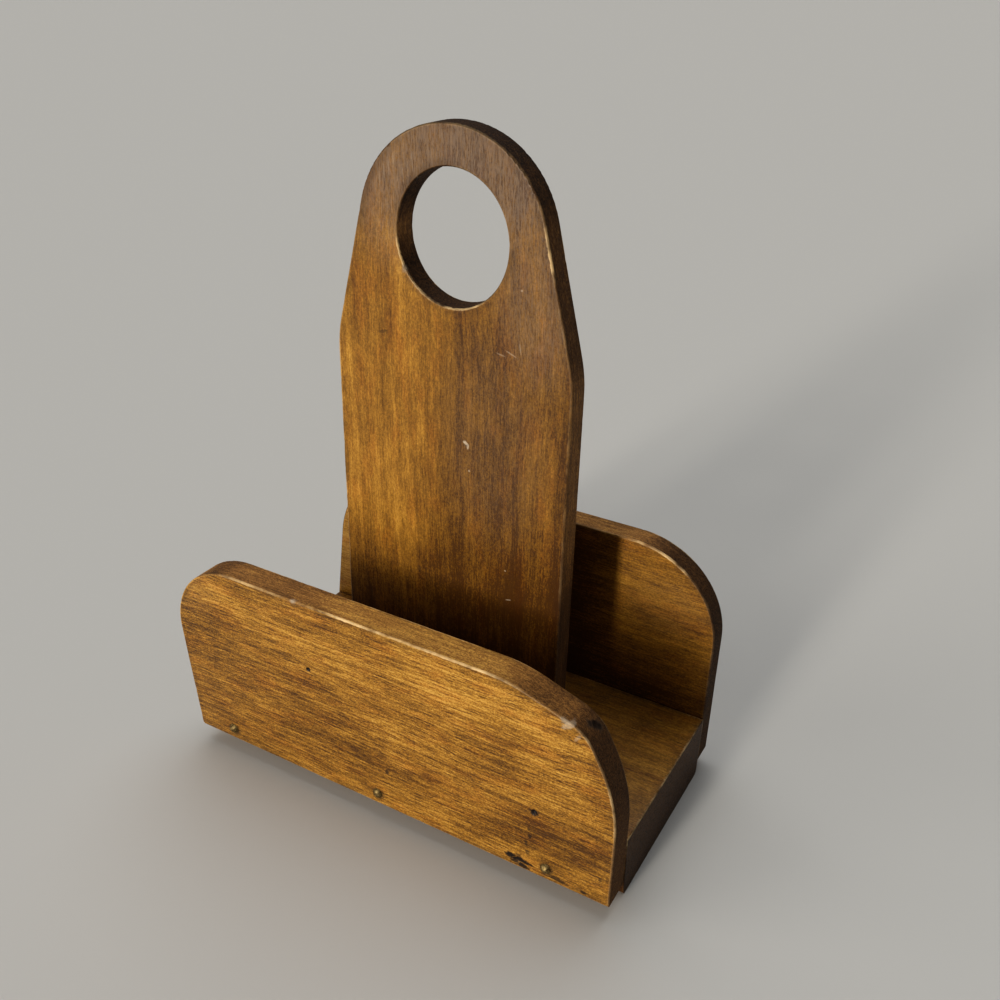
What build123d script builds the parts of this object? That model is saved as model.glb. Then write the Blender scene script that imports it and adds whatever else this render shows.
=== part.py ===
from build123d import *
from math import asin, atan2, cos, hypot, radians, sin, tan
import os

# A small wooden napkin holder, in millimetres, +Z up. Two low panels are nailed to the
# long edges of a thick base board. A tall handle with a finger hole stands between them
# and parts the space into two napkin slots.
# The frame: +X runs along the panels, the front panel is on the -Y side, and the origin
# is on the table, under the middle of the whole holder.

# ---- Base board: the only piece that touches the table ----
base_length = 146.0
base_depth = 60.7           # front to back, between the two panels
base_thickness = 22.5
base_front_undercut = 1.2   # the front edge was sawn out of square and falls away downwards
base_arris = 1.6            # rounding of the two lower long edges

# ---- Both panels ----
panel_lift = 5.7            # their lower edges stop this far above the table
panel_arris = 0.6           # rounding along the edges of both faces

# ---- Front panel: hand-sawn, flared at its left end, with two unlike corners ----
front_thickness = 9.9
front_height = 64.7
front_left_overhang = 5.2   # its lower left corner passes the base by this much
front_left_lean = 6.0       # degrees, outwards towards the top
front_left_radius = 24.0
front_foot_radius = 1.2     # the lower left corner
front_right_top_cut = 34.0  # the right corner was sawn in two slopes: this far along the top
front_right_end_cut = 27.9  # and this far down the end
front_knuckle_in = 10.7     # where the two slopes meet, in from the end
front_knuckle_down = 7.8    # and down from the top
front_top_radius = 43.0     # the three rounded corners that the two cuts leave
front_knuckle_radius = 14.0
front_end_radius = 50.0

# ---- Back panel: a little taller and thinner ----
back_thickness = 8.3
back_height = 74.6
back_left_overhang = 2.9    # its lower left corner passes the base by this much
back_left_lean = 6.5        # degrees, inwards towards the top
back_left_radius = 34.0
back_right_radius = 30.0

# ---- Handle: one board, upright between the panels ----
handle_thickness = 8.0
handle_width = 76.2
handle_height = 180.2       # above the base
handle_front_gap = 25.6     # the front napkin slot, from panel to handle
handle_right_margin = 36.9  # from the handle's side to the base's right end
handle_shoulder_height = 118.7  # above the base, where the taper starts
handle_shoulder_radius = 40.0
handle_head_radius = 29.0
handle_arris = 0.6
finger_hole_width = 34.4
finger_hole_height = 36.6
finger_hole_offset = 0.7    # to the right of the head's centre
finger_hole_arris = 0.5

# ---- Nails: round heads, evenly spaced along each panel ----
nail_names = ("left", "middle", "right")
nail_left_margin = 9.3      # from the base's left end to the first nail
nail_right_margin = 20.0
nail_height = 4.1           # above the panel's lower edge
nail_head_diameter = 3.4
nail_head_rise = 1.1
nail_diameter = 1.6
nail_length = 25.0          # under the head
nail_point = 2.6

# ---- Screws: countersunk, up through the base into the handle's lower end ----
screw_names = ("left", "right")
screw_spacing = 40.0
screw_diameter = 3.5
screw_length = 40.0
screw_point = 5.0
screw_head_diameter = 7.0
screw_head_depth = 2.2
screw_recess = 0.4          # the heads lie this far inside the base's underside
screw_slot_width = 0.9
screw_slot_depth = 1.0

fastener_clearance = 0.05   # round each shank, and under each countersunk head
hole_end_room = 0.8         # a blind hole goes this far past the point

# ---- Places that follow from the sizes above ----
lean = radians(front_left_lean)
left_corner_straight = front_height - front_left_radius
left_corner_centre = (front_left_radius - left_corner_straight * sin(lean)) / cos(lean)
front_flare = front_left_overhang + front_left_radius - left_corner_centre

right_end = (base_length + front_flare) / 2
left_end = right_end - base_length
handle_centre = right_end - handle_right_margin - handle_width / 2

front_face = -(front_thickness + base_depth + back_thickness) / 2
base_front = front_face + front_thickness
base_back = base_front + base_depth
back_face = base_back + back_thickness
handle_front = base_front + handle_front_gap
handle_middle = handle_front + handle_thickness / 2

base_top = base_thickness
head_centre = base_top + handle_height - handle_head_radius
shoulder = base_top + handle_shoulder_height
nail_line = panel_lift + nail_height


def upright_board(outline, front, thickness):
    """A board cut to an outline drawn in X and Z, with its front face at Y = front."""
    plane = Plane(origin=(0, front, 0), x_dir=(1, 0, 0), z_dir=(0, -1, 0))
    return extrude(plane * outline, amount=-thickness)


def ease_arrises(board, radius):
    """Rounds the edges of a board's two faces, except along its lower edge."""
    lowest = board.bounding_box().min.Z
    arrises = [
        edge
        for face in board.faces().filter_by(Axis.Y)
        for edge in face.outer_wire().edges()
        if edge.center().Z > lowest + radius
    ]
    return fillet(arrises, radius)


def corner_near(outline, x, z):
    """The corner of a flat outline that lies nearest to a point."""
    return outline.vertices().sort_by_distance((x, z, 0))[0]


def front_outline():
    """The front panel: a leaning, round left end, and a right corner sawn in two slopes."""
    top = panel_lift + front_height
    foot = left_end - front_left_overhang
    corners = {
        (foot, panel_lift): front_foot_radius,
        (right_end, panel_lift): 0,
        (right_end, top - front_right_end_cut): front_end_radius,
        (right_end - front_knuckle_in, top - front_knuckle_down): front_knuckle_radius,
        (right_end - front_right_top_cut, top): front_top_radius,
        (foot - front_height * tan(lean), top): front_left_radius,
    }
    with BuildSketch() as panel:
        with BuildLine():
            Polyline(*corners, close=True)
        make_face()
        for (x, z), radius in corners.items():
            if radius:
                fillet(corner_near(panel, x, z), radius)
    return panel.sketch


def back_outline():
    """The back panel: its left end leans inwards and both upper corners are round."""
    top = panel_lift + back_height
    foot = left_end - back_left_overhang
    top_left = foot + back_height * tan(radians(back_left_lean))
    with BuildSketch() as panel:
        with BuildLine():
            Polyline(
                (top_left, top), (foot, panel_lift), (right_end, panel_lift), (right_end, top), close=True
            )
        make_face()
        fillet(corner_near(panel, top_left, top), back_left_radius)
        fillet(corner_near(panel, right_end, top), back_right_radius)
    return panel.sketch


def head_tangent():
    """Where the handle's straight taper runs into its round head, on the right side."""
    half_width = handle_width / 2
    rise = head_centre - shoulder
    reach = hypot(half_width, rise)
    direction = atan2(rise, -half_width) - asin(handle_head_radius / reach)
    length = (reach**2 - handle_head_radius**2) ** 0.5
    return half_width + length * cos(direction), shoulder + length * sin(direction)


def handle_outline():
    """The handle: straight sides, soft shoulders, a straight taper and a round head."""
    half_width = handle_width / 2
    taper_x, taper_z = head_tangent()
    with BuildSketch() as handle:
        with BuildLine():
            Polyline(
                (-taper_x, taper_z),
                (-half_width, shoulder),
                (-half_width, base_top),
                (half_width, base_top),
                (half_width, shoulder),
                (taper_x, taper_z),
            )
            ThreePointArc((taper_x, taper_z), (0, head_centre + handle_head_radius), (-taper_x, taper_z))
        make_face()
        for side in (-1, 1):
            fillet(corner_near(handle, side * half_width, shoulder), handle_shoulder_radius)
    return Pos(handle_centre, 0) * handle.sketch


def turned(profile):
    """A fastener turned round Z from its half profile, point downwards."""
    return revolve(Plane.XZ * profile, axis=Axis.Z)


def nail():
    """A nail with a low round head, its seat at Z = 0."""
    head = nail_head_diameter / 2
    shank = nail_diameter / 2
    with BuildSketch() as profile:
        with BuildLine():
            TangentArc((0, nail_head_rise), (head, 0), tangent=(1, 0))
            Polyline(
                (head, 0), (shank, 0), (shank, nail_point - nail_length), (0, -nail_length), (0, nail_head_rise)
            )
        make_face()
    return turned(profile.sketch)


def screw():
    """A slotted countersunk wood screw, the top of its head at Z = 0."""
    head = screw_head_diameter / 2
    shank = screw_diameter / 2
    with BuildSketch() as profile:
        with BuildLine():
            Polyline(
                (0, 0),
                (0, -screw_length),
                (shank, screw_point - screw_length),
                (shank, -screw_head_depth),
                (head, 0),
                close=True,
            )
        make_face()
    slot = Box(2 * head, screw_slot_width, 2 * screw_slot_depth)
    return turned(profile.sketch) - slot


def nail_hole():
    """What one nail needs bored out of the wood."""
    radius = nail_diameter / 2 + fastener_clearance
    depth = nail_length + hole_end_room
    return Pos(0, 0, -depth / 2) * Cylinder(radius, depth)


def screw_hole():
    """What one screw needs: a countersink, open at the underside, and a blind bore."""
    bore = screw_diameter / 2 + fastener_clearance
    mouth = screw_head_diameter / 2 + fastener_clearance
    depth = screw_length + hole_end_room
    shaft = Pos(0, 0, -depth / 2) * Cylinder(bore, depth)
    seat = Pos(0, 0, -screw_head_depth / 2) * Cone(bore, mouth, screw_head_depth)
    entry = Pos(0, 0, screw_recess / 2) * Cylinder(mouth, screw_recess)
    return shaft + seat + entry


def nail_places(face, turn):
    """The seats of one panel's nails, with their points turned into the holder."""
    first = left_end + nail_left_margin
    step = (base_length - nail_left_margin - nail_right_margin) / (len(nail_names) - 1)
    return [Pos(first + i * step, face, nail_line) * Rot(X=turn) for i in range(len(nail_names))]


def screw_places():
    """The seats of the handle's screws, with their points turned up."""
    first = handle_centre - screw_spacing * (len(screw_names) - 1) / 2
    return [
        Pos(first + i * screw_spacing, handle_middle, screw_recess) * Rot(X=180)
        for i in range(len(screw_names))
    ]


front_nails = nail_places(front_face, 90)
back_nails = nail_places(back_face, -90)
screws = screw_places()
nail_bores = [place * nail_hole() for place in front_nails + back_nails]
screw_bores = [place * screw_hole() for place in screws]


def base_board():
    """The base: square at the back, undercut at the front, lower long edges rounded."""
    with BuildSketch(Plane.YZ) as section:
        with BuildLine():
            Polyline(
                (base_front, base_top),
                (base_front + base_front_undercut, 0),
                (base_back, 0),
                (base_back, base_top),
                close=True,
            )
        make_face()
    board = Pos(left_end, 0, 0) * extrude(section.sketch, amount=base_length)
    lower_long_edges = board.edges().filter_by(Axis.X).sort_by(Axis.Z)[:2]
    board = fillet(lower_long_edges, base_arris)
    return board - nail_bores - screw_bores


def front_panel():
    board = ease_arrises(upright_board(front_outline(), front_face, front_thickness), panel_arris)
    return board - nail_bores


def back_panel():
    board = ease_arrises(upright_board(back_outline(), base_back, back_thickness), panel_arris)
    return board - nail_bores


def handle_board():
    """The handle with its finger hole, whose two rims are lightly rounded."""
    board = ease_arrises(upright_board(handle_outline(), handle_front, handle_thickness), handle_arris)
    oval = Pos(handle_centre + finger_hole_offset, head_centre) * Ellipse(finger_hole_width / 2, finger_hole_height / 2)
    board -= upright_board(oval, handle_front, handle_thickness)
    rims = [wire.edges()[0] for face in board.faces().filter_by(Axis.Y) for wire in face.inner_wires()]
    return fillet(rims, finger_hole_arris) - screw_bores


nodes = {
    "base_board": base_board(),
    "front_panel": front_panel(),
    "back_panel": back_panel(),
    "handle_board": handle_board(),
}
for panel, places in (("front", front_nails), ("back", back_nails)):
    for name, place in zip(nail_names, places):
        nodes[f"{panel}_nail_{name}"] = place * nail()
for name, place in zip(screw_names, screws):
    nodes[f"handle_screw_{name}"] = place * screw()

os.makedirs("parts", exist_ok=True)
for node, solid in nodes.items():
    export_step(solid, f"parts/{node}.step")
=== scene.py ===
# %% [markdown]
# # A hand-made napkin holder, dressed on its CAD frame
# The holder is four stained and varnished boards, six round-headed nails and two hidden
# screws. Its construction is already solved in the imported model, so this lesson only adds
# what a camera sees: arris wear, wood grain, uneven stain, old varnish and small damage, and
# some painted shade, light, sheen and highlights laid into the colours.
# Everything is in metres and stays exactly where the imported model has it.

# %% Load the frame
import math

import bmesh
import bpy
import numpy as np
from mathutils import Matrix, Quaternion, Vector, noise
from mathutils.kdtree import KDTree


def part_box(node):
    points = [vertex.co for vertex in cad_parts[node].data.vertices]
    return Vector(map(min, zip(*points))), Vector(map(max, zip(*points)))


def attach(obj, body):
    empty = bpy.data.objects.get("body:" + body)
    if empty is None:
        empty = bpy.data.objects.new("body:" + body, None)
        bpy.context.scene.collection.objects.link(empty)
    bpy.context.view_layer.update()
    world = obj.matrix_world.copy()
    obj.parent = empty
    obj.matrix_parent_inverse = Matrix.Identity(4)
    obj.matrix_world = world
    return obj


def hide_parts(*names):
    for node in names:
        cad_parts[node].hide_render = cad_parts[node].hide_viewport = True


MM = 0.001
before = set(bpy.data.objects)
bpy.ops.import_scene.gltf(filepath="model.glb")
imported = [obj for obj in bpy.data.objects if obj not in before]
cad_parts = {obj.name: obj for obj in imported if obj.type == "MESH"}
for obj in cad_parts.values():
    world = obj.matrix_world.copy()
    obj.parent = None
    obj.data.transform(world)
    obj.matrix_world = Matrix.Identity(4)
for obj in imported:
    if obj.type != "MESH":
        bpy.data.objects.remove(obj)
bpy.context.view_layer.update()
for name in sorted(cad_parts):
    low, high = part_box(name)
    print(f"{name:20s}", "size in mm:", [round(size / MM, 1) for size in high - low])

# %% [markdown]
# ## Where the camera stands
# The picture was taken from the front and a little to the right, looking down at the
# holder from close by. A short lens this near makes the front panel large and lets
# the upright edges lean together towards the table, so the place and the lens both matter.
# The camera is aimed at a point on the handle and rolled by the degree and a half that a
# hand-held picture has.

# %% Camera
camera_place = Vector((148.6, -234.8, 239.7)) * MM
camera_target = Vector((17.8, 0.0, 99.5)) * MM
camera_roll = math.radians(1.5)

lens = bpy.data.cameras.new("picture_camera")
lens.sensor_width = 36.0
lens.lens = 37.6
lens.clip_start = 0.01
camera = bpy.data.objects.new("picture_camera", lens)
camera.location = camera_place
camera.rotation_mode = "QUATERNION"
aim = (camera_target - camera_place).to_track_quat("-Z", "Y")
camera.rotation_quaternion = aim @ Quaternion((0, 0, 1), camera_roll)
bpy.context.scene.collection.objects.link(camera)
bpy.context.scene.camera = camera
print("camera to target, mm:", round((camera_target - camera_place).length / MM))

# %% [markdown]
# ## Small helpers for node trees
# A procedural material is a graph. Writing each node as three or four lines hides the
# idea, so a few helpers keep a step on one line: `put` adds a node and fills or links its
# inputs, `calc` is arithmetic on a mask, and `tint` mixes two colours by a mask.

# %% Node helpers
def fill(tree, node, values):
    """Sets a node's inputs by name or number: a socket is linked, anything else is set."""
    for key, value in values.items():
        if isinstance(value, bpy.types.NodeSocket):
            tree.links.new(value, node.inputs[key])
        else:
            node.inputs[key].default_value = value
    return node


def put(tree, kind, values=None, **settings):
    """Adds a node with its settings and its inputs."""
    node = tree.nodes.new(kind)
    for key, value in settings.items():
        setattr(node, key, value)
    return fill(tree, node, values or {})


def calc(tree, operation, *terms):
    """One arithmetic step between masks and numbers."""
    return put(tree, "ShaderNodeMath", dict(enumerate(terms)), operation=operation).outputs[0]


def shift(tree, operation, *terms, **values):
    """One step on places and directions."""
    values = dict(enumerate(terms)) | {key.title(): value for key, value in values.items()}
    return put(tree, "ShaderNodeVectorMath", values, operation=operation).outputs


def total(tree, *terms):
    """The sum of several masks, each given with its share."""
    result = 0.0
    for mask, share in terms:
        result = calc(tree, "MULTIPLY_ADD", mask, share, result)
    return result


def strongest(tree, masks):
    """The highest of several masks at each point."""
    result = masks[0]
    for mask in masks[1:]:
        result = calc(tree, "MAXIMUM", result, mask)
    return result


def tint(tree, mask, below, above, mode="MIX"):
    """The colour below where the mask is 0, and the colour above where it is 1."""
    colours = {0: mask}
    for socket, colour in ((6, below), (7, above)):
        colours[socket] = colour if isinstance(colour, bpy.types.NodeSocket) else (*colour, 1.0)
    mix = put(tree, "ShaderNodeMix", colours, data_type="RGBA", blend_type=mode)
    return mix.outputs[2]


def remap(tree, value, low, high, new_low=0.0, new_high=1.0):
    """Stretches the part of a mask between low and high smoothly over a new range."""
    values = {0: value, 1: low, 2: high, 3: new_low, 4: new_high}
    return put(tree, "ShaderNodeMapRange", values, interpolation_type="SMOOTHSTEP").outputs[0]


def cloud(tree, vector, along, across, detail=2.0, roughness=0.5):
    """Soft noise between 0 and 1, with its frequency along X and across it."""
    scale = (along, across, across)
    scaled = put(tree, "ShaderNodeMapping", {"Vector": vector, "Scale": scale}).outputs[0]
    values = {"Vector": scaled, "Scale": 1.0, "Detail": detail, "Roughness": roughness}
    return put(tree, "ShaderNodeTexNoise", values).outputs["Fac"]


def attribute(tree, name):
    """A number that the mesh holds for each of its points."""
    return put(tree, "ShaderNodeAttribute", attribute_name=name).outputs["Fac"]


def new_group(name, inputs, outputs):
    """An empty shader node group with named number and vector inputs, which gives masks."""
    kinds = {"number": "NodeSocketFloat", "vector": "NodeSocketVector"}
    tree = bpy.data.node_groups.new(name, "ShaderNodeTree")
    for label, kind in inputs.items():
        tree.interface.new_socket(name=label, in_out="INPUT", socket_type=kinds[kind])
    for label in outputs:
        tree.interface.new_socket(name=label, in_out="OUTPUT", socket_type=kinds["number"])
    given, result = put(tree, "NodeGroupInput"), put(tree, "NodeGroupOutput")
    print("group", name, "gives", list(outputs))
    return tree, given.outputs, result


def use_group(tree, group, values):
    """Places a group in a material with its own values."""
    return put(tree, "ShaderNodeGroup", values, node_tree=group).outputs


print("helpers for node trees: put, calc, shift, total, strongest, tint, remap, cloud, new_group, use_group")


# %% [markdown]
# ## The floor and the light
# The picture's light is a tall window in front of the holder and a little to its left. It
# starts at the height of the table, so the front panel shades the foot of the handle, and
# it is narrow, so the handle's upright edge throws a clear shadow on the back panel. One
# big lamp near the holder would leave a dark horizon. Far strips of sky, stacked like
# window panes, light the whole pale floor evenly instead. One broad patch of ceiling
# lights what faces up, and a weak one stands for the wall on the left, which throws some
# of the window's light back. Nothing stands on the right, so the right ends stay in shade.

# %% Floor
def pale_floor_material():
    """Matt and pale, with no shine that would show the window again."""
    material = bpy.data.materials.new("pale_floor")
    material.use_nodes = True
    shader = material.node_tree.nodes["Principled BSDF"]
    shader.inputs["Base Color"].default_value = (0.57, 0.55, 0.51, 1.0)
    shader.inputs["Roughness"].default_value = 0.9
    shader.inputs["Specular IOR Level"].default_value = 0.0
    return material


def flat_disc(name, radius, material):
    """A large round floor at the height of the table."""
    shape = bmesh.new()
    bmesh.ops.create_circle(shape, cap_ends=True, radius=radius, segments=96)
    mesh = bpy.data.meshes.new(name)
    shape.to_mesh(mesh)
    shape.free()
    disc = bpy.data.objects.new(name, mesh)
    disc.data.materials.append(material)
    bpy.context.scene.collection.objects.link(disc)
    return disc


floor_radius = 30.0
floor = flat_disc("floor", floor_radius, pale_floor_material())
print("floor radius, m:", floor_radius)

# %% Lights
def patch_of_sky(name, heading, elevation, spread, strength, colour):
    """Even light from one patch of sky, turned left by heading and raised by elevation."""
    light = bpy.data.lights.new(name, "SUN")
    light.energy = strength
    light.angle = math.radians(spread)
    light.color = colour
    turn, rise = math.radians(heading), math.radians(elevation)
    level = math.cos(rise)
    source = Vector((-math.sin(turn) * level, -math.cos(turn) * level, math.sin(rise)))
    lamp = bpy.data.objects.new(name, light)
    lamp.rotation_mode = "QUATERNION"
    lamp.rotation_quaternion = (-source).to_track_quat("-Z", "Y")
    bpy.context.scene.collection.objects.link(lamp)


window_heading = 6.0
window_spread = 5.5
window_white = (1.0, 0.965, 0.91)
pane_elevations = (1.5, 6.0, 10.5, 15.5, 21.0, 27.0, 33.5)
pane_strengths = (0.60, 0.57, 0.46, 0.31, 0.22, 0.18, 0.16)
for pane, (elevation, strength) in enumerate(zip(pane_elevations, pane_strengths)):
    patch_of_sky(f"window_{pane}", window_heading, elevation, window_spread, strength, window_white)
patch_of_sky("ceiling", 150.0, 68.0, 60.0, 1.35, (0.93, 0.96, 1.0))
patch_of_sky("left_wall", 52.0, 24.0, 36.0, 0.55, (1.0, 0.965, 0.93))

world = bpy.data.worlds.new("studio")
bpy.context.scene.world = world
world.use_nodes = True
surround = world.node_tree.nodes["Background"]
surround.inputs["Color"].default_value = (0.88, 0.91, 0.95, 1.0)
surround.inputs["Strength"].default_value = 0.12
view = bpy.context.scene.view_settings
view.view_transform = "Standard"
view.look = "Medium High Contrast"
print("window panes:", len(pane_elevations))

# %% [markdown]
# ## From a CAD board to a used board
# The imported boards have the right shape, but their faces are a few huge triangles, and
# nothing can be dented or worn on those. A voxel remesh would make small faces, but it
# melts the arris, the crisp little rounding that catches the light. So each board is
# sliced by evenly spaced planes instead, as if ruled with squared paper. The slices add
# points and move none, so the rounded arris stays as sharp as the joiner left it.

# %% Ruled net
net_spacing = 0.9 * MM
finest_edge = 0.3 * MM
most_halvings = 3
same_place = 0.001 * MM
same_plane = math.radians(0.3)
slice_tolerance = 0.0001 * MM


def ruled_net(node):
    """A copy of a CAD board whose faces are ruled into small flat cells."""
    net = bmesh.new()
    net.from_mesh(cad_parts[node].data)
    bmesh.ops.remove_doubles(net, verts=net.verts, dist=same_place)
    bmesh.ops.dissolve_limit(net, angle_limit=same_plane, verts=net.verts[:], edges=net.edges[:])
    low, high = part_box(node)
    for axis in (1, 0, 2):
        ruling = Vector((0, 0, 0))
        ruling[axis] = 1.0
        for place in np.arange(low[axis] + net_spacing / 2, high[axis], net_spacing):
            everything = net.verts[:] + net.edges[:] + net.faces[:]
            cut = {"plane_co": ruling * float(place), "plane_no": ruling, "dist": slice_tolerance}
            bmesh.ops.bisect_plane(net, geom=everything, **cut)
    return net


def refine(net, centre, radius):
    """Halves the edges round a place where small damage needs more points."""
    for _ in range(most_halvings):
        near = [edge for edge in net.edges if all((v.co - centre).length < radius for v in edge.verts)]
        long = [edge for edge in near if edge.calc_length() > finest_edge]
        bmesh.ops.subdivide_edges(net, edges=long, cuts=1, use_grid_fill=True)


print("cells, mm:", round(net_spacing / MM, 2), "and at damage down to", round(finest_edge / MM, 2))

# %% [markdown]
# ## Wear as a shape
# Small damage is cut into the net, so it shows in the outline too. A dent sinks a round
# patch of a face. A chip is scooped from an arris as a gouge would do it: every point
# inside a small ball is pushed straight into the wood as far as the ball's skin. All of
# them move the same way, so no two points meet and no cell folds over. Over it all lies
# the slight waviness of boards that were sawn, planed and sanded by hand.

# %% Wear helpers
def read_points(mesh):
    """The points and normals of a mesh as arrays."""
    points = np.zeros(len(mesh.vertices) * 3)
    normals = np.zeros(len(mesh.vertices) * 3)
    mesh.vertices.foreach_get("co", points)
    mesh.vertices.foreach_get("normal", normals)
    return points.reshape(-1, 3), normals.reshape(-1, 3)


def soft_noise(points, size):
    """Noise between about -1 and 1 at each point, with bumps of the given size."""
    return np.array([noise.noise(Vector(point) / size) for point in points])


def distance_to(points, chosen):
    """How far each point is from the nearest of the chosen ones."""
    tree = KDTree(int(chosen.sum()))
    for index, point in enumerate(points[chosen]):
        tree.insert(point, index)
    tree.balance()
    return np.array([tree.find(point)[2] for point in points])


def falloff(distance, reach):
    """1 at no distance, and smoothly down to 0 at the reach."""
    share = np.clip(1.0 - distance / reach, 0.0, 1.0)
    return share * share * (3.0 - 2.0 * share)


print("falloff at none, half and all of the reach:", falloff(np.array([0.0, 0.5, 1.0]), 1.0))


# %% Dents and chips
chip_raggedness = 0.22
chip_splinters = 0.8 * MM
chip_rim = 0.6 * MM


def sink(points, normals, centre, reach, depth):
    """Presses a round dent into a face."""
    amount = falloff(np.linalg.norm(points - centre, axis=1), reach)
    points -= normals * (amount * depth)[:, None]
    return amount


def scoop(points, normals, centre, radius):
    """Cuts a chip with a ball: the points inside it move into the wood as far as its skin."""
    offset = points - centre
    distance = np.linalg.norm(offset, axis=1)
    ragged = radius * (1.0 + chip_raggedness * soft_noise(points, chip_splinters))
    inside = distance < ragged
    if not inside.any():
        return np.zeros(len(points))
    inward = -normals[inside].mean(axis=0)
    inward /= np.linalg.norm(inward)
    along = offset @ inward
    across = np.maximum(distance ** 2 - along ** 2, 0.0)
    skin = np.sqrt(np.maximum(ragged ** 2 - across, 0.0))
    points += np.where(inside, np.maximum(skin - along, 0.0), 0.0)[:, None] * inward
    return np.where(inside, 1.0, falloff(distance - ragged, chip_rim))


def damage(points, normals, dents, chips):
    """Cuts all the damage of a board. Gives how fresh and pale, or old and dark, each point is."""
    pale, dark = np.zeros(len(points)), np.zeros(len(points))
    for centre, reach, depth in dents:
        dent = sink(points, normals, np.array(centre) * MM, reach * MM, depth * MM)
        dark = np.maximum(dark, dent)
    for centre, radius, freshness in chips:
        chip = scoop(points, normals, np.array(centre) * MM, radius * MM)
        pale, dark = np.maximum(pale, chip * freshness), np.maximum(dark, chip * (1 - freshness))
    return pale, dark


print("the rim of a chip strays by, percent:", round(100 * chip_raggedness))


# %% Board mesh
damage_room = 1.6
shortest_edge = 0.005 * MM
arris_slant = (0.25, 0.97)


def board_mesh(node, damaged_places):
    """The ruled net of a board, finer at its damage, as a mesh of triangles."""
    net = ruled_net(node)
    for centre, reach, _ in damaged_places:
        refine(net, Vector(centre) * MM, reach * damage_room * MM)
    bmesh.ops.triangulate(net, faces=net.faces[:])
    bmesh.ops.dissolve_degenerate(net, dist=shortest_edge, edges=net.edges[:])
    open_edges = sum(len(edge.link_faces) != 2 for edge in net.edges)
    mesh = bpy.data.meshes.new(node + "_wood")
    net.to_mesh(mesh)
    net.free()
    mesh.polygons.foreach_set("use_smooth", np.ones(len(mesh.polygons), dtype=bool))
    print(mesh.name, "points:", len(mesh.vertices), "open edges:", open_edges)
    return mesh


def arris_distance(points, normals, low, high, upright):
    """How far each point is from an arris, in metres."""
    if upright:
        slant = np.abs(normals[:, 1])
        return distance_to(points, (slant > arris_slant[0]) & (slant < arris_slant[1]))
    walls = np.concatenate([points - np.array(low), np.array(high) - points], axis=1)
    return np.sort(np.abs(walls), axis=1)[:, 1]


def store(mesh, name, values):
    """Keeps one number for each point, for the material to read."""
    layer = mesh.attributes.new(name, "FLOAT", "POINT")
    layer.data.foreach_set("value", values.astype(np.float32))


print("edges shorter than this are dissolved, mm:", round(shortest_edge / MM, 4))


# %% Used board
hollow_size, hollow_depth = 17 * MM, 0.07 * MM
nick_size, nick_depth, nick_zone = 2.6 * MM, 0.22 * MM, 0.7 * MM
nicks_from = 0.30
sawn_slant = (0.15625, 0.78125)
end_slant = (0.0577, 0.4423)


def used_board(node, material, grain_axis, dents=(), chips=(), upright=True):
    """The piece that stands for one CAD board, with its wear and what its material needs."""
    mesh = board_mesh(node, (*dents, *chips))
    points, normals = read_points(mesh)
    low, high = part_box(node)
    arris = arris_distance(points, normals, low, high, upright)
    sawn = np.interp(np.abs(normals[:, 1]), sawn_slant, (1.0, 0.0)) if upright else np.zeros(len(points))
    store(mesh, "from_arris", arris / MM)
    store(mesh, "saw_cut", sawn)
    store(mesh, "end_grain", np.interp(np.abs(normals[:, grain_axis]), end_slant, (0.0, 1.0)))

    hollows = 0.5 + 0.5 * soft_noise(points, hollow_size)
    points -= normals * (hollows * hollow_depth)[:, None]
    nicks = np.clip(soft_noise(points, nick_size) - nicks_from, 0, 1) * falloff(arris, nick_zone)
    points -= normals * (nicks * nick_depth)[:, None]
    pale, dark = damage(points, normals, dents, chips)
    points = np.clip(points, np.array(low), np.array(high))
    store(mesh, "fresh_damage", pale)
    store(mesh, "old_damage", dark)
    mesh.vertices.foreach_set("co", points.ravel())
    mesh.update()

    piece = bpy.data.objects.new(mesh.name, mesh)
    bpy.context.scene.collection.objects.link(piece)
    piece.data.materials.append(material)
    weighted = piece.modifiers.new("flat_faces_stay_flat", "WEIGHTED_NORMAL")
    weighted.weight = 80
    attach(piece, "root")
    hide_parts(node)
    print(piece.name, "damaged points:", int((pale + dark > 0.3).sum()))
    return piece


print("hand-sanded hollows reach, mm:", round(hollow_depth / MM, 2))


# %% [markdown]
# ## The figure of the wood
# Wood is a solid pattern: long fibres, with growth rings wrapped round the heart of the
# tree. So the pattern is worked out in space, in millimetres along the grain, and a board
# cut from it shows lines on its faces and arcs on its ends, with no unwrapping. All the
# woods here share one group, which gives separate masks, so each board can mix its own
# figure from them. Each mask is noise that changes slowly along the fibres and quickly
# across them: the table gives how often it does so per millimetre.

# %% Wood figure group
along_the_fibres = {  # along, across, detail, roughness, and what counts as none and as full
    "Bands": (0.006, 0.20, 2.0, 0.6, 0.30, 0.70),
    "Lines": (0.045, 1.35, 5.0, 0.75, 0.36, 0.64),
    "Fibres": (0.34, 3.0, 3.0, 0.8, 0.36, 0.64),
    "Pores": (0.17, 2.2, 2.0, 0.5, 0.57, 0.66),
}
over_the_board = {
    "Clouds": (0.035, 0.07, 3.0, 0.55, 0.30, 0.70),
    "Mottle": (0.10, 0.24, 3.0, 0.6, 0.32, 0.68),
    "Dust": (1.3, 1.8, 4.0, 0.85, 0.36, 0.64),
    "Blush": (0.06, 0.17, 4.0, 0.7, 0.45, 0.70),
}


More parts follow.
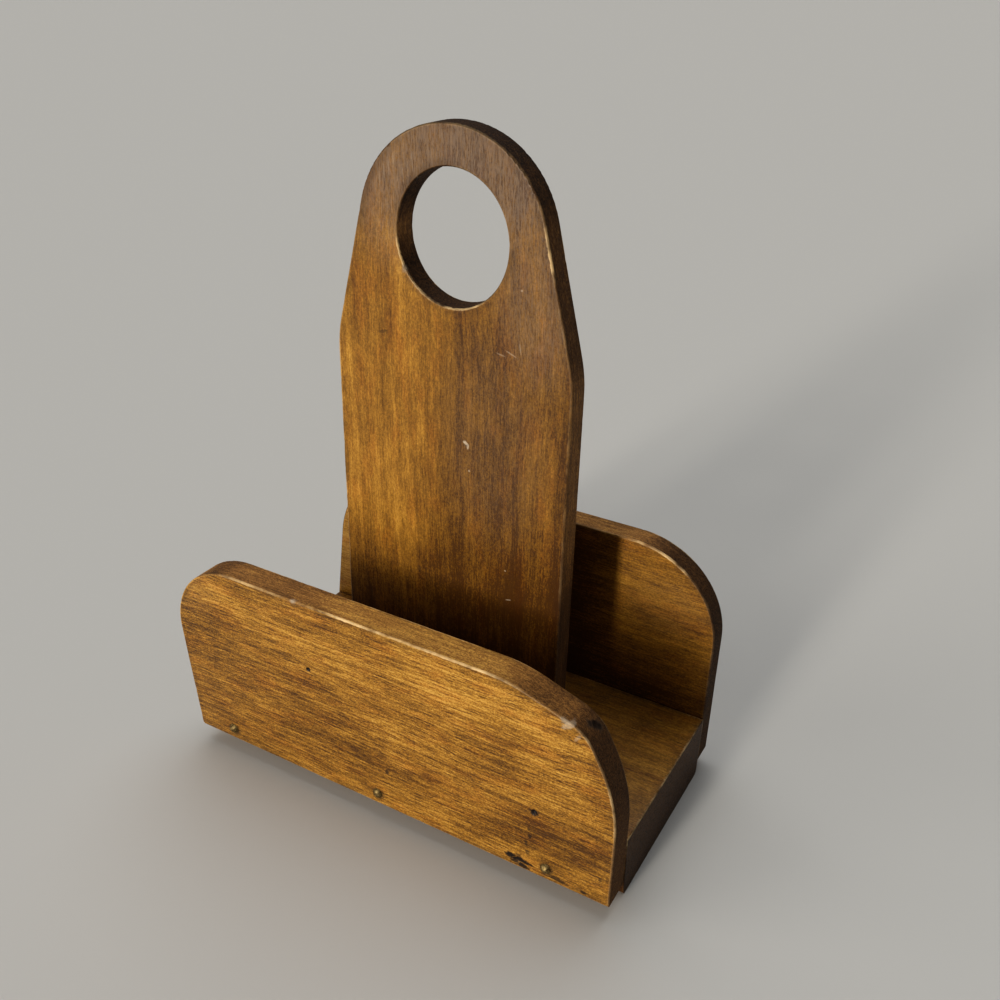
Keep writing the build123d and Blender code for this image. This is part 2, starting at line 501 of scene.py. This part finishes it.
def growth_rings(tree, fibre, ring_width):
    """Darkens slowly through each year's ring and ends at a sharp line."""
    split = put(tree, "ShaderNodeSeparateXYZ", {0: fibre}).outputs
    square = calc(tree, "POWER", split["Z"], 2.0)
    radius = calc(tree, "SQRT", calc(tree, "MULTIPLY_ADD", split["Y"], split["Y"], square))
    uneven = calc(tree, "MULTIPLY", cloud(tree, fibre, 0.004, 0.12, 1.0), 5.0)
    year = calc(tree, "FRACT", calc(tree, "DIVIDE", calc(tree, "ADD", radius, uneven), ring_width))
    return calc(tree, "MULTIPLY", calc(tree, "POWER", year, 2.5), remap(tree, year, 1.0, 0.94))


def make_wood_figure():
    inputs = {"Grain": "vector", "Ring Width": "number", "Sway": "number"}
    outputs = ("Rings", *along_the_fibres, *over_the_board)
    tree, given, result = new_group("wood_figure", inputs, outputs)
    grain = given["Grain"]
    drift = calc(tree, "SUBTRACT", cloud(tree, grain, 0.010, 0.028, 2.0, 0.45), 0.5)
    drift = calc(tree, "MULTIPLY", drift, given["Sway"])
    sideways = put(tree, "ShaderNodeCombineXYZ", {1: drift, 2: drift}).outputs[0]
    fibre = shift(tree, "ADD", grain, sideways)[0]

    masks = {"Rings": growth_rings(tree, fibre, given["Ring Width"])}
    for place, table in ((fibre, along_the_fibres), (grain, over_the_board)):
        for part, (along, across, detail, roughness, none, full) in table.items():
            masks[part] = remap(tree, cloud(tree, place, along, across, detail, roughness), none, full)
    fill(tree, result, masks)
    return tree


wood_figure = make_wood_figure()

# %% [markdown]
# ## Marks, patches, arris wear and painted highlights
# Three more groups serve every board. `mark` is an oval with a ragged rim, for a nail
# hole, a spot, a stroke or a large soft patch of stain, and also for patches of painted
# shade, light and sheen. `arris_wear_and_highlight` finds where hands have taken the
# varnish from the edges, close to the arris and only in places, and the same mask lays a
# painted highlight there. `saw_face` is the coarse, thirsty surface of the sawn edges,
# which drank more stain than the faces.

# %% Mark group
def make_mark():
    inputs = {"Place": "vector", "Centre": "vector", "Turn": "number", "Reach": "vector"}
    inputs |= {"Raggedness": "number", "Softness": "number"}
    tree, given, result = new_group("mark", inputs, ("Mark",))
    offset = shift(tree, "SUBTRACT", given["Place"], given["Centre"])[0]
    values = {"Vector": offset, "Axis": (0, 1, 0), "Angle": given["Turn"]}
    turned = put(tree, "ShaderNodeVectorRotate", values).outputs[0]
    scaled = shift(tree, "DIVIDE", turned, given["Reach"])[0]
    distance = shift(tree, "LENGTH", scaled)["Value"]
    rough = calc(tree, "SUBTRACT", cloud(tree, given["Place"], 1.3, 1.3, 2.0, 0.6), 0.5)
    distance = calc(tree, "MULTIPLY_ADD", rough, given["Raggedness"], distance)
    outer = calc(tree, "ADD", 1.0, given["Softness"])
    inner = calc(tree, "SUBTRACT", 1.0, given["Softness"])
    fill(tree, result, {"Mark": remap(tree, distance, outer, inner)})
    return tree


mark = make_mark()
right_through = 1000.0


def marks(tree, place, spots, softness=0.35, raggedness=1.2, face=0.0, depth=right_through):
    """One mask of many marks: x, z, half length, half width, turn in degrees, strength.

    They run right through the board, or start at the y of one face and go only so deep."""
    masks = [0.0]
    for x, z, length, width, turn, strength in spots:
        values = {"Place": place, "Centre": (x, face, z), "Turn": math.radians(turn)}
        values |= {"Reach": (length, depth, width), "Raggedness": raggedness, "Softness": softness}
        masks.append(calc(tree, "MULTIPLY", use_group(tree, mark, values)["Mark"], strength))
    return strongest(tree, masks)


# %% Arris wear group
def make_arris_wear_and_highlight():
    inputs = {"From Arris": "number", "Place": "vector", "Reach": "number", "Amount": "number"}
    tree, given, result = new_group("arris_wear_and_highlight", inputs, ("Worn And Highlit", "Grime"))
    worn_and_highlit = cloud(tree, given["Place"], 0.09, 0.09, 3.0, 0.6)
    ragged = cloud(tree, given["Place"], 0.9, 0.9, 2.0, 0.6)
    reach = calc(tree, "MULTIPLY", given["Reach"], remap(tree, ragged, 0.25, 0.75, 0.4, 1.5))
    near = calc(tree, "SUBTRACT", 1.0, calc(tree, "DIVIDE", given["From Arris"], reach))
    often = remap(tree, calc(tree, "ADD", worn_and_highlit, given["Amount"]), 0.45, 0.75)
    worn_and_highlit_edge = calc(tree, "MULTIPLY", remap(tree, near, 0.0, 0.7), often)
    grimy = remap(tree, given["From Arris"], 2.6, 0.6)
    grime = calc(tree, "MULTIPLY", grimy, remap(tree, worn_and_highlit, 0.65, 0.35))
    fill(tree, result, {"Worn And Highlit": worn_and_highlit_edge, "Grime": grime})
    return tree


arris_wear_and_highlight = make_arris_wear_and_highlight()


# %% Saw face group
def make_saw_face():
    tree, given, result = new_group("saw_face", {"Grain": "vector"}, ("Strokes", "Specks"))
    strokes = cloud(tree, given["Grain"], 0.11, 1.3, 4.0, 0.72)
    specks = cloud(tree, given["Grain"], 1.4, 3.0, 3.0, 0.75)
    strokes, specks = remap(tree, strokes, 0.3, 0.7), remap(tree, specks, 0.35, 0.65)
    fill(tree, result, {"Strokes": strokes, "Specks": specks})
    return tree


saw_face = make_saw_face()

# %% [markdown]
# ## One recipe for all the boards
# Each board is the same wood under the same brown stain and satin varnish, but no two took
# it alike. The recipe adds all the masks to one number, the tone, from pale gold to dark
# brown, and a colour ramp turns that into colour. So a dark line in a pale patch stays
# paler than one in a dark patch, as it does in stained wood. Painted shade towards the foot
# and painted patches of shade and light go into the tone too. On top come the sawn edges,
# grime, arris wear with a painted highlight, a painted greyish sheen, marks and chips. The
# colours are of the bare surface in plain light, except for this painted shade, light,
# sheen and highlight. The faces, the sawn edges and the damage have a function each, and
# the material joins them.

# %% Where a point lies in the wood
grain_orders = {"x": ("X", "Z", "Y"), "z": ("Z", "X", "Y")}


def millimetres(tree):
    """The place on the object, in millimetres."""
    place = put(tree, "ShaderNodeTexCoord").outputs["Object"]
    return shift(tree, "SCALE", place, scale=1.0 / MM)[0]


def grain_vector(tree, place, along, heart, tilt):
    """The place with X along the grain, turned by the tilt, and the tree's heart at 0."""
    split = put(tree, "ShaderNodeSeparateXYZ", {0: place}).outputs
    order = [split[axis] for axis in grain_orders[along]]
    ordered = put(tree, "ShaderNodeCombineXYZ", dict(enumerate(order))).outputs[0]
    values = {"Vector": ordered, "Axis": (0, 0, 1), "Angle": math.radians(tilt)}
    turned = put(tree, "ShaderNodeVectorRotate", values).outputs[0]
    return shift(tree, "SUBTRACT", turned, (0.0, *heart))[0]


def painted_foot_shade_mask(tree, place, painted_foot_shade):
    """0 above the painted shade and 1 below it, or 0 all over where no shade is painted."""
    if painted_foot_shade is None:
        return 0.0
    height = put(tree, "ShaderNodeSeparateXYZ", {0: place}).outputs["Z"]
    return remap(tree, height, painted_foot_shade["from"], painted_foot_shade["full"])


print("axes along, across and through the grain:", grain_orders)

# %% Stained faces
stain_colours = (
    (0.0, (0.62, 0.350, 0.075)),
    (0.3, (0.43, 0.210, 0.028)),
    (0.6, (0.235, 0.107, 0.012)),
    (1.0, (0.070, 0.026, 0.003)),
)
blush_tint = (1.0, 0.84, 0.74)
# Painted sheen: a greyish veil that stands for the window's reflection in the varnish
sheen_colour = (0.22, 0.158, 0.112)
patch_rim = {"softness": 0.55, "raggedness": 0.3}
soft_rim = {"softness": 0.5, "raggedness": 0.3}
heartwood_rim = {"softness": 0.06, "raggedness": 0.12}


def colour_ramp(tree, tone, stops):
    """Turns a tone from 0 to 1 into a colour."""
    ramp = put(tree, "ShaderNodeValToRGB", {0: tone})
    elements = ramp.color_ramp.elements
    while len(elements) < len(stops):
        elements.new(0.5)
    for element, (position, colour) in zip(elements, stops):
        element.position = position
        element.color = (*colour, 1.0)
    return ramp.outputs[0]


def stained_faces(tree, place, figure, painted_shade, stain):
    """The colour of the stained faces, with its patches, its blush and its painted greyish sheen."""
    tone = total(tree, *((figure[part], share) for part, share in stain["figure"].items()))
    tone = calc(tree, "ADD", tone, stain["start"])
    only = stain.get("only_on", {})
    tone = calc(tree, "ADD", tone, marks(tree, place, stain["darker"], **patch_rim, **only))
    tone = calc(tree, "SUBTRACT", tone, marks(tree, place, stain["paler"], **patch_rim, **only))
    heartwood = marks(tree, place, stain.get("heartwood", ()), **heartwood_rim)
    tone = calc(tree, "SUBTRACT", tone, heartwood)
    tone = calc(tree, "ADD", tone, painted_shade)
    colour = colour_ramp(tree, tone, stain_colours)
    colour = tint(tree, calc(tree, "MULTIPLY", figure["Blush"], 0.7), colour, blush_tint, "MULTIPLY")
    painted_sheen = marks(tree, place, stain.get("painted_sheen", ()), **soft_rim)
    sheen_share = calc(tree, "MULTIPLY", painted_sheen, remap(tree, figure["Fibres"], 0.2, 0.9, 1.0, 0.35))
    return tint(tree, sheen_share, colour, sheen_colour)


print("stain runs from", stain_colours[0][1], "to", stain_colours[-1][1])

# %% Sawn edges
sawn_colours = (
    (0.0, (0.80, 0.460, 0.105)),
    (0.3, (0.38, 0.180, 0.046)),
    (0.6, (0.135, 0.060, 0.017)),
    (1.0, (0.022, 0.009, 0.0025)),
)


def sawn_edges(tree, place, rough_mix, end_mask, sawn):
    """The colour of the sawn edges and of the open ends of the fibres."""
    tone = total(tree, (rough_mix, 0.45), (end_mask, 0.42))
    tone = calc(tree, "ADD", tone, sawn["start"])
    tone = calc(tree, "ADD", tone, marks(tree, place, sawn["darker"], **soft_rim))
    tone = calc(tree, "SUBTRACT", tone, marks(tree, place, sawn.get("paler", ()), **soft_rim))
    return colour_ramp(tree, tone, sawn_colours)


print("sawn edges run from", sawn_colours[0][1], "to", sawn_colours[-1][1])

# %% Wear, damage, painted highlights and shadows
# The pale arris colour is partly varnish wear and partly a painted highlight that the arrises catch
worn_and_highlight_colour = (0.92, 0.65, 0.32)
chip_colour = (0.62, 0.50, 0.36)
grime_and_shadow_colour = (0.012, 0.006, 0.004)
worn_and_highlit_rim = {"softness": 0.4, "raggedness": 0.3}
mark_depth = 2.5


def wear_damage_and_painted_light(tree, place, colour, use):
    """Lays grime, arris wear with its painted highlight, chips and marks over a colour; the marks include
    painted shadows round the nails. Gives the dark mask too.
    """
    values = {"From Arris": attribute(tree, "from_arris"), "Place": place}
    values |= {"Reach": use["arris_reach"], "Amount": 0.10}
    worn_and_highlit = use_group(tree, arris_wear_and_highlight, values)
    colour = tint(tree, calc(tree, "MULTIPLY", worn_and_highlit["Grime"], 0.30), colour, grime_and_shadow_colour)
    where = remap(tree, marks(tree, place, use["worn_and_highlit"], **worn_and_highlit_rim), 0.0, 1.0, 0.10, 0.80)
    colour = tint(tree, calc(tree, "MULTIPLY", worn_and_highlit["Worn And Highlit"], where), colour, worn_and_highlight_colour)
    fresh = calc(tree, "MULTIPLY", attribute(tree, "fresh_damage"), 0.85)
    colour = tint(tree, fresh, colour, chip_colour)
    on_face = {"face": use["face"], "depth": mark_depth}
    dark = strongest(tree, [marks(tree, place, use["dark"], **on_face), attribute(tree, "old_damage")])
    colour = tint(tree, dark, colour, grime_and_shadow_colour)
    return tint(tree, marks(tree, place, use["pale"], **on_face), colour, chip_colour), dark


print("marks go into the wood by, mm:", mark_depth)

# %% Board material
satin_roughness = 0.36
varnish_roughness, varnish_coat, bare_coat = 0.34, 0.22, 0.02
wood_shine = 0.20
relief_strength, relief_depth = 0.6, 0.08 * MM


def board_material(name, grain, stain, sawn, use, painted_foot_shade=None):
    """Stained, varnished and used wood.

    grain says how the board was cut, stain how its faces took the colour, sawn how its
    edges did, use where it wears, catches a painted highlight and is marked, and
    painted_foot_shade how far towards its foot the colour is painted darker as shade."""
    material = bpy.data.materials.new(name)
    material.use_nodes = True
    tree = material.node_tree
    place = millimetres(tree)
    fibres = grain_vector(tree, place, grain["along"], grain["heart"], grain["tilt"])
    values = {"Grain": fibres, "Ring Width": grain["ring_width"], "Sway": grain["sway"]}
    figure = use_group(tree, wood_figure, values)
    # Painted shade: the tone is darkened towards the foot of the board, where the other boards shade it.
    painted_shade = painted_foot_shade_mask(tree, place, painted_foot_shade)
    painted_shade_tone = calc(tree, "MULTIPLY", painted_shade, painted_foot_shade["strength"] if painted_foot_shade else 0.0)

    saw = use_group(tree, saw_face, {"Grain": fibres})
    rough_mix = total(tree, (saw["Strokes"], 0.55), (saw["Specks"], 0.6))
    end_mask, saw_mask = attribute(tree, "end_grain"), attribute(tree, "saw_cut")
    colour = stained_faces(tree, place, figure, painted_shade_tone, stain)
    edges = sawn_edges(tree, place, rough_mix, end_mask, sawn)
    colour = tint(tree, calc(tree, "MAXIMUM", saw_mask, end_mask), colour, edges)
    colour, dark = wear_damage_and_painted_light(tree, place, colour, use)

    roughness = total(tree, (figure["Dust"], 0.12), (figure["Lines"], 0.06), (saw_mask, 0.25))
    roughness = calc(tree, "ADD", roughness, total(tree, (end_mask, 0.15), (dark, 0.3)))
    relief = total(tree, (figure["Lines"], -0.3), (figure["Fibres"], -0.4), (figure["Pores"], -0.8))
    relief = calc(tree, "ADD", relief, calc(tree, "MULTIPLY", figure["Dust"], 0.2))
    saw_relief = calc(tree, "MULTIPLY", calc(tree, "MULTIPLY", saw_mask, rough_mix), 1.6)
    bump = put(tree, "ShaderNodeBump", {"Height": calc(tree, "SUBTRACT", relief, saw_relief)})
    bump.inputs["Strength"].default_value = relief_strength
    bump.inputs["Distance"].default_value = relief_depth
    unvarnished = strongest(tree, [saw_mask, end_mask, calc(tree, "MULTIPLY", painted_shade, 0.7)])

    surface = {"Base Color": colour, "Normal": bump.outputs[0]}
    surface["Roughness"] = calc(tree, "ADD", roughness, satin_roughness)
    surface["Coat Weight"] = remap(tree, unvarnished, 0.8, 0.0, bare_coat, varnish_coat)
    shader = fill(tree, tree.nodes["Principled BSDF"], surface)
    shader.inputs["Specular IOR Level"].default_value = wood_shine
    shader.inputs["Coat Roughness"].default_value = varnish_roughness
    print("material", name, "nodes:", len(tree.nodes))
    return material


print("groups that every board uses:", [group.name for group in (wood_figure, saw_face, arris_wear_and_highlight, mark)])

# %% [markdown]
# ## The front panel
# Its face shows straight, close lines, a bright golden band under the arc, cloudy brown
# patches at the left, small holes, and a black gouge beside the right nail. Chips have
# come off the arc, and its sawn end has gone dark. The places are millimetres on the
# face, and each mark reads: x, z, half length, half width, turn, strength.

# %% Front panel stain
front_grain = {"along": "x", "heart": (-60.0, 55.0), "tilt": -0.5, "ring_width": 3.0, "sway": 7.0}
front_stain = {
    "start": -0.27,
    "figure": {
        "Clouds": 0.14, "Mottle": 0.16, "Bands": 0.10, "Rings": 0.08,
        "Lines": 0.41, "Fibres": 0.30, "Pores": 0.29, "Dust": 0.44,
    },
    "darker": (
        (-68, 30, 22, 26, 0, 0.10), (-32, 33, 24, 11, 4, 0.12), (62, 22, 24, 9, 8, 0.20),
        (-2, 22, 20, 8, 0, 0.12), (76, 40, 6, 30, 12, 0.10), (-45, 16, 30, 12, 0, 0.10),
    ),
    "paler": (
        (30, 61, 30, 8, 0, 0.17), (62, 52, 14, 9, 40, 0.16), (-48, 58, 20, 6, 0, 0.12),
        (-8, 50, 22, 6, -6, 0.08), (15, 9, 40, 4, 0, 0.07), (-62, 60, 12, 7, 0, 0.12),
    ),
    # painted light: a pale sheen on the left end, where light from the left falls
    "painted_sheen": ((-74, 62, 12, 10, 0, 0.10),),
}
front_sawn = {
    "start": -0.04,
    "darker": ((-46, 70, 24, 6, 0, 0.20), (72, 50, 6, 30, 0, 0.14)),
    # (-76, 60) is painted light: the left sawn end made paler, as light from the left leaves it
    "paler": ((-76, 60, 14, 16, 0, 0.38),),
}


rim_width = 0.4
# painted shadow: each ring is moved low and to the right, as a nail head's shadow falls
shadow_drift = 0.3


def nail_grime_and_shadows(panel):
    """A ring of grime round each nail of a panel, with a painted shadow: the ring sits a little low and to
    the right, where the head's shadow falls.
    """
    rims = []
    for side in ("left", "middle", "right"):
        low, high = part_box(f"{panel}_nail_{side}")
        middle, radius = (low + high) / 2 / MM, (high.x - low.x) / 2 / MM
        reach = radius + rim_width
        rims.append((middle.x + shadow_drift, middle.z - shadow_drift, reach, reach, 0, 0.6))
    return rims


print("rims of dirt on the front panel:", len(nail_grime_and_shadows("front")))

# %% Front panel marks
small_holes = (
    (-25.0, 47.2, 0.9, 0.7, 20, 1.0), (53.2, 28.9, 1.3, 1.0, 0, 1.0), (3.2, 20.1, 0.6, 0.8, 0, 0.8),
)
black_gouge = (
    (46.2, 9.2, 1.7, 0.9, 12, 1.0), (49.4, 8.6, 3.6, 0.7, 2, 1.0), (50.6, 7.0, 2.0, 0.7, -6, 0.95),
    (47.8, 7.6, 1.4, 0.6, 10, 0.9), (52.6, 8.7, 1.2, 0.5, -12, 0.9), (48.8, 10.4, 0.8, 0.5, 0, 0.7),
)
specks_of_dirt = (
    (51.8, 21.9, 0.5, 0.5, 0, 0.6), (52.2, 19.4, 0.6, 0.7, 0, 0.75), (51.1, 16.5, 0.5, 1.1, 10, 0.7),
    (51.7, 13.0, 0.6, 0.8, 0, 0.6), (61.5, 7.7, 3.2, 0.7, -4, 0.8), (69.7, 7.2, 0.9, 0.6, 0, 0.8),
    (74.4, 14.7, 0.5, 0.7, 0, 0.6),
)
front_use = {
    "face": -39.45,
    "dark": (*nail_grime_and_shadows("front"), *small_holes, *black_gouge, *specks_of_dirt),
    "pale": ((61.8, 63.2, 2.2, 0.9, 38, 0.40), (64.6, 60.2, 1.6, 0.5, 55, 0.22)),
    "worn_and_highlit": (
        (13, 71, 34, 3.5, 0, 1.0), (-46, 70, 12, 3, 0, 0.5), (64, 63, 10, 6, 40, 0.35),
        (77, 42, 3, 12, 0, 0.45),
    ),
    "arris_reach": 0.27,
}
print("marks on the front face:", len(front_use["dark"]) + len(front_use["pale"]))

# %% Front panel
front_wood = board_material("front_panel_wood", front_grain, front_stain, front_sawn, front_use)
front_panel = used_board(
    "front_panel", front_wood, 0,
    dents=(((-25.0, -39.4, 47.2), 0.9, 0.6), ((53.2, -39.4, 28.9), 1.2, 0.8), ((49.0, -39.4, 8.6), 2.4, 0.5)),
    chips=(
        ((61.0, -40.5, 65.2), 1.7, 0.6), ((59.5, -40.1, 65.7), 1.1, 0.5), ((-29.3, -39.7, 70.6), 0.7, 0.8),
        ((66.2, -34.4, 62.9), 1.0, 0.15), ((67.1, -33.2, 62.2), 1.3, 0.1), ((68.0, -32.3, 61.0), 1.0, 0.15),
    ),
)

# %% [markdown]
# ## The back panel
# It is the browner of the two panels, and only its inner face shows. The strip behind the
# handle sees almost no light, and the handle's shadow is painted there as a dark patch,
# while the free left end is painted paler, as light from the left would leave it. Both
# patches belong to the inner face, so they go only a little way into the wood and leave the
# outer face evenly brown. Lower down, the whole board is painted darker as shade between
# the panels.

# %% Back panel
back_grain = {"along": "x", "heart": (-75.0, -60.0), "tilt": 1.0, "ring_width": 3.6, "sway": 7.0}
back_stain = {
    "start": 0.03,
    "figure": {
        "Clouds": 0.12, "Mottle": 0.12, "Bands": 0.12, "Rings": 0.10,
        "Lines": 0.22, "Fibres": 0.20, "Pores": 0.20, "Dust": 0.32,
    },
    "only_on": {"face": 31.15, "depth": 4.5},
    # (16, 45) is a painted shadow: the handle's shadow on the inner face
    "darker": ((50, 32, 40, 12, 0, 0.14), (16, 45, 22, 50, 0, 0.45)),
    # (-64, 52) is painted light: the free left end, lit from the left
    "paler": ((58, 68, 18, 10, 25, 0.08), (-64, 52, 14, 50, 0, 0.42)),
    "painted_sheen": ((60, 60, 14, 10, 0, 0.1),),
}
back_sawn = {
    "start": 0.12,
    "darker": ((76, 50, 5, 30, 0, 0.05),),
    "paler": ((-30, 80, 20, 4, 0, 0.08),),
}
back_use = {
    "face": 39.45,
    "dark": (*nail_grime_and_shadows("back"), (30.0, 44.0, 0.7, 0.6, 0, 0.7), (-42.0, 61.0, 0.5, 0.9, 0, 0.6)),
    "pale": ((-20.0, 66.0, 1.2, 0.3, 12, 0.3),),
    # (56, 76) is mostly a painted highlight on the right arris
    "worn_and_highlit": ((56, 76, 14, 6, 20, 1.2), (-30, 80, 30, 3, 0, 0.7)),
    "arris_reach": 0.4,
}
# Painted shade: the board is darkened from z = 44 mm down to 20 mm, deep between the panels
back_foot_shade = {"from": 44.0, "full": 20.0, "strength": 0.20}
back_wood = board_material("back_panel_wood", back_grain, back_stain, back_sawn, back_use, back_foot_shade)
back_panel = used_board("back_panel", back_wood, 0)

# %% [markdown]
# ## The handle
# Its fibres run upright. The left third took the stain golden, the rest browner and a
# little red, and the ring round the finger hole is a little darker from handling, with a
# painted greyish sheen that stands for the window's reflection in its varnish. Down between
# the panels the colour is painted darker towards the foot: this is painted shade, where the
# front panel shades the handle.

# %% Handle stain
handle_grain = {"along": "z", "heart": (14.0, 42.0), "tilt": 1.0, "ring_width": 4.6, "sway": 8.0}
handle_stain = {
    "start": 0.145,
    "figure": {
        "Clouds": 0.12, "Mottle": 0.12, "Bands": 0.14, "Rings": 0.08,
        "Lines": 0.17, "Fibres": 0.16, "Pores": 0.10, "Dust": 0.27,
    },
    "darker": (
        # (32, 84) is painted shade: the lower right of the face, darker where the front panel's shadow falls
        (26, 122, 24, 52, 0, 0.13), (4, 194, 34, 16, 0, 0.18), (32, 84, 14, 18, 0, 0.16),
        (4.7, 146, 0.9, 9, 0, 0.12), (4.5, 198, 0.8, 5, 0, 0.12), (24.5, 121.7, 3.0, 2.4, 0, 0.12),
        (30.3, 103.1, 2.6, 2.0, 0, 0.10), (-7, 98, 2.2, 14, 0, 0.12), (29.0, 159.4, 0.5, 8.5, 19, 0.13),
        (36.2, 142.0, 0.5, 11.0, 24, 0.13), (-17.5, 154, 0.9, 12, 0, 0.12),
    ),
    # (-24, 84) is painted light: the lower left is kept lighter, where the front panel's shadow leaves it
    "paler": ((-24, 118, 12, 50, 0, 0.05), (-12, 140, 4, 30, 2, 0.08), (-24, 84, 14, 12, 0, 0.16)),
    "heartwood": ((-105, 80, 100, 340, 0, 0.10),),
    # painted sheen: strongest on the ring round the finger hole
    "painted_sheen": (
        (2, 189, 34, 22, 0, 0.66), (-16, 182, 12, 16, 0, 0.35), (30, 165, 12, 26, 0, 0.40),
        (18, 120, 16, 30, 0, 0.16),
    ),
}
handle_sawn = {
    "start": 0.20,
    # (38, 44) is painted shade on the right sawn edge near the foot
    "darker": ((0, 200, 30, 8, 0, 0.08), (38, 44, 12, 34, 0, 0.30)),
    "paler": ((30, 205, 9, 6, 0, 0.03),),
}
# Painted shade: the handle is darkened from z = 98 mm down to 62 mm, where the front panel shades its foot
handle_foot_shade = {"from": 98.0, "full": 62.0, "strength": 0.30}
print("dirt on the handle starts at z =", handle_foot_shade["from"], "mm")

# %% Handle
pale_nicks = (
    (8.3, 116.8, 0.8, 0.5, -35, 0.75), (9.1, 115.8, 0.35, 0.8, 0, 0.5), (9.6, 108.3, 0.35, 0.3, 0, 0.4),
    (24.8, 163.6, 0.35, 0.3, 0, 0.35), (22.3, 78.9, 0.3, 0.25, 0, 0.4), (23.6, 69.2, 0.9, 0.2, 15, 0.4),
)
scratches = (
    (19.2, 145.2, 1.4, 0.22, -12, 0.22), (22.2, 146.0, 1.8, 0.2, -22, 0.25), (24.9, 147.9, 0.2, 1.4, 10, 0.2)
)
fine_hairs = [(-19.0 + 1.5 * hair, 187.0 + 1.7 * (hair % 4), 0.18, 2.2, 3, 0.13) for hair in range(9)]
handle_use = {
    "face": -3.95,
    "dark": ((-19.3, 144.7, 1.5, 0.5, 18, 0.5), (-8.0, 70.0, 0.6, 1.2, 0, 0.4)),
    "pale": (*pale_nicks, *scratches, *fine_hairs),
    "worn_and_highlit": (
        (0, 157, 12, 6, 0, 1.0), (31, 174, 5, 22, -12, 0.7), (-14, 166, 3, 6, 0, 0.6),
        (-34, 120, 4, 40, 0, 0.35),
    ),
    "arris_reach": 0.32,
}
handle_wood = board_material("handle_wood", handle_grain, handle_stain, handle_sawn, handle_use, handle_foot_shade)
handle_board = used_board(
    "handle_board", handle_wood, 2,
    dents=(((8.8, -3.95, 116.3), 0.9, 0.25),),
    chips=(((-11.1, -4.4, 164.3), 0.9, 0.5),),
)

# %% [markdown]
# ## The base
# It is the thickest board and the only one that touches the table. Its top lies in shade,
# so what counts is the saw-cut right end, where the open ends of the fibres drank so much
# stain that it is nearly black.

# %% Base board
base_grain = {"along": "x", "heart": (-40.0, 25.0), "tilt": 0.5, "ring_width": 4.2, "sway": 7.0}
base_stain = {
    "start": 0.10,
    "figure": {
        "Clouds": 0.12, "Mottle": 0.12, "Bands": 0.12, "Rings": 0.10,
        "Lines": 0.20, "Fibres": 0.18, "Pores": 0.16, "Dust": 0.28,
    },
    "darker": ((0, 22, 60, 12, 0, 0.05),),
    "paler": ((74, 22, 8, 4, 0, 0.10),),
    "painted_sheen": ((0, 22, 10, 4, 0, 0.05),),
}
base_sawn = {"start": 0.12, "darker": ((78, 6, 4, 8, 0, 0.05),)}
base_use = {
    "face": -29.55,
    "dark": ((20.0, 10.0, 1.0, 0.8, 0, 0.6),),
    "pale": ((-30.0, 8.0, 0.6, 0.4, 0, 0.3),),
    "worn_and_highlit": ((76, 22, 4, 3, 0, 0.6),),
    "arris_reach": 0.6,
}
# Painted shade: the base is darkened from z = 10 mm down to 2 mm, where it meets the table
base_foot_shade = {"from": 10.0, "full": 2.0, "strength": 0.50}
base_wood = board_material("base_wood", base_grain, base_stain, base_sawn, base_use, base_foot_shade)
base_board = used_board("base_board", base_wood, 0, upright=False)

# %% [markdown]
# ## Nails and screws
# The nails are turned solids already, so they keep their CAD shape and only get metal. Old
# brass pins are dull: brown tarnish in blotches and a duller sheen than new brass. The two
# screws in the underside are zinc-plated steel, gone grey.

# %% Metals
def make_tarnish():
    inputs = {"Place": "vector", "Amount": "number"}
    tree, given, result = new_group("tarnish", inputs, ("Tarnish", "Scuffs"))
    blotch = calc(tree, "ADD", cloud(tree, given["Place"], 0.9, 0.9, 3.0, 0.6), given["Amount"])
    scuffs = cloud(tree, given["Place"], 2.2, 6.0, 2.0, 0.6)
    fill(tree, result, {"Tarnish": remap(tree, blotch, 0.35, 0.75), "Scuffs": scuffs})
    return tree


tarnish = make_tarnish()


def metal_material(name, clean, dull, amount, roughness):
    """Old metal: a clean and a dull colour in blotches, and fine scuffs."""
    material = bpy.data.materials.new(name)
    material.use_nodes = True
    tree = material.node_tree
    masks = use_group(tree, tarnish, {"Place": millimetres(tree), "Amount": amount})
    rough = total(tree, (masks["Tarnish"], 0.25), (masks["Scuffs"], 0.15))
    relief = {"Height": masks["Scuffs"], "Strength": 0.3, "Distance": 0.05 * MM}
    values = {"Base Color": tint(tree, masks["Tarnish"], clean, dull)}
    values["Normal"] = put(tree, "ShaderNodeBump", relief).outputs[0]
    values["Roughness"] = calc(tree, "ADD", rough, roughness)
    shader = fill(tree, tree.nodes["Principled BSDF"], values)
    shader.inputs["Metallic"].default_value = 1.0
    print("material", name, "nodes:", len(tree.nodes))
    return material


# %% Nails and screws
old_brass = metal_material("old_brass", (0.40, 0.29, 0.12), (0.10, 0.065, 0.028), 0.08, 0.40)
grey_zinc = metal_material("grey_zinc", (0.42, 0.42, 0.41), (0.16, 0.15, 0.14), 0.0, 0.35)
fasteners = [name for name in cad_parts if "nail" in name or "screw" in name]
for name in fasteners:
    metal = old_brass if "nail" in name else grey_zinc
    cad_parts[name].material_slots[0].material = metal
print("metal on", len(fasteners), "fasteners")
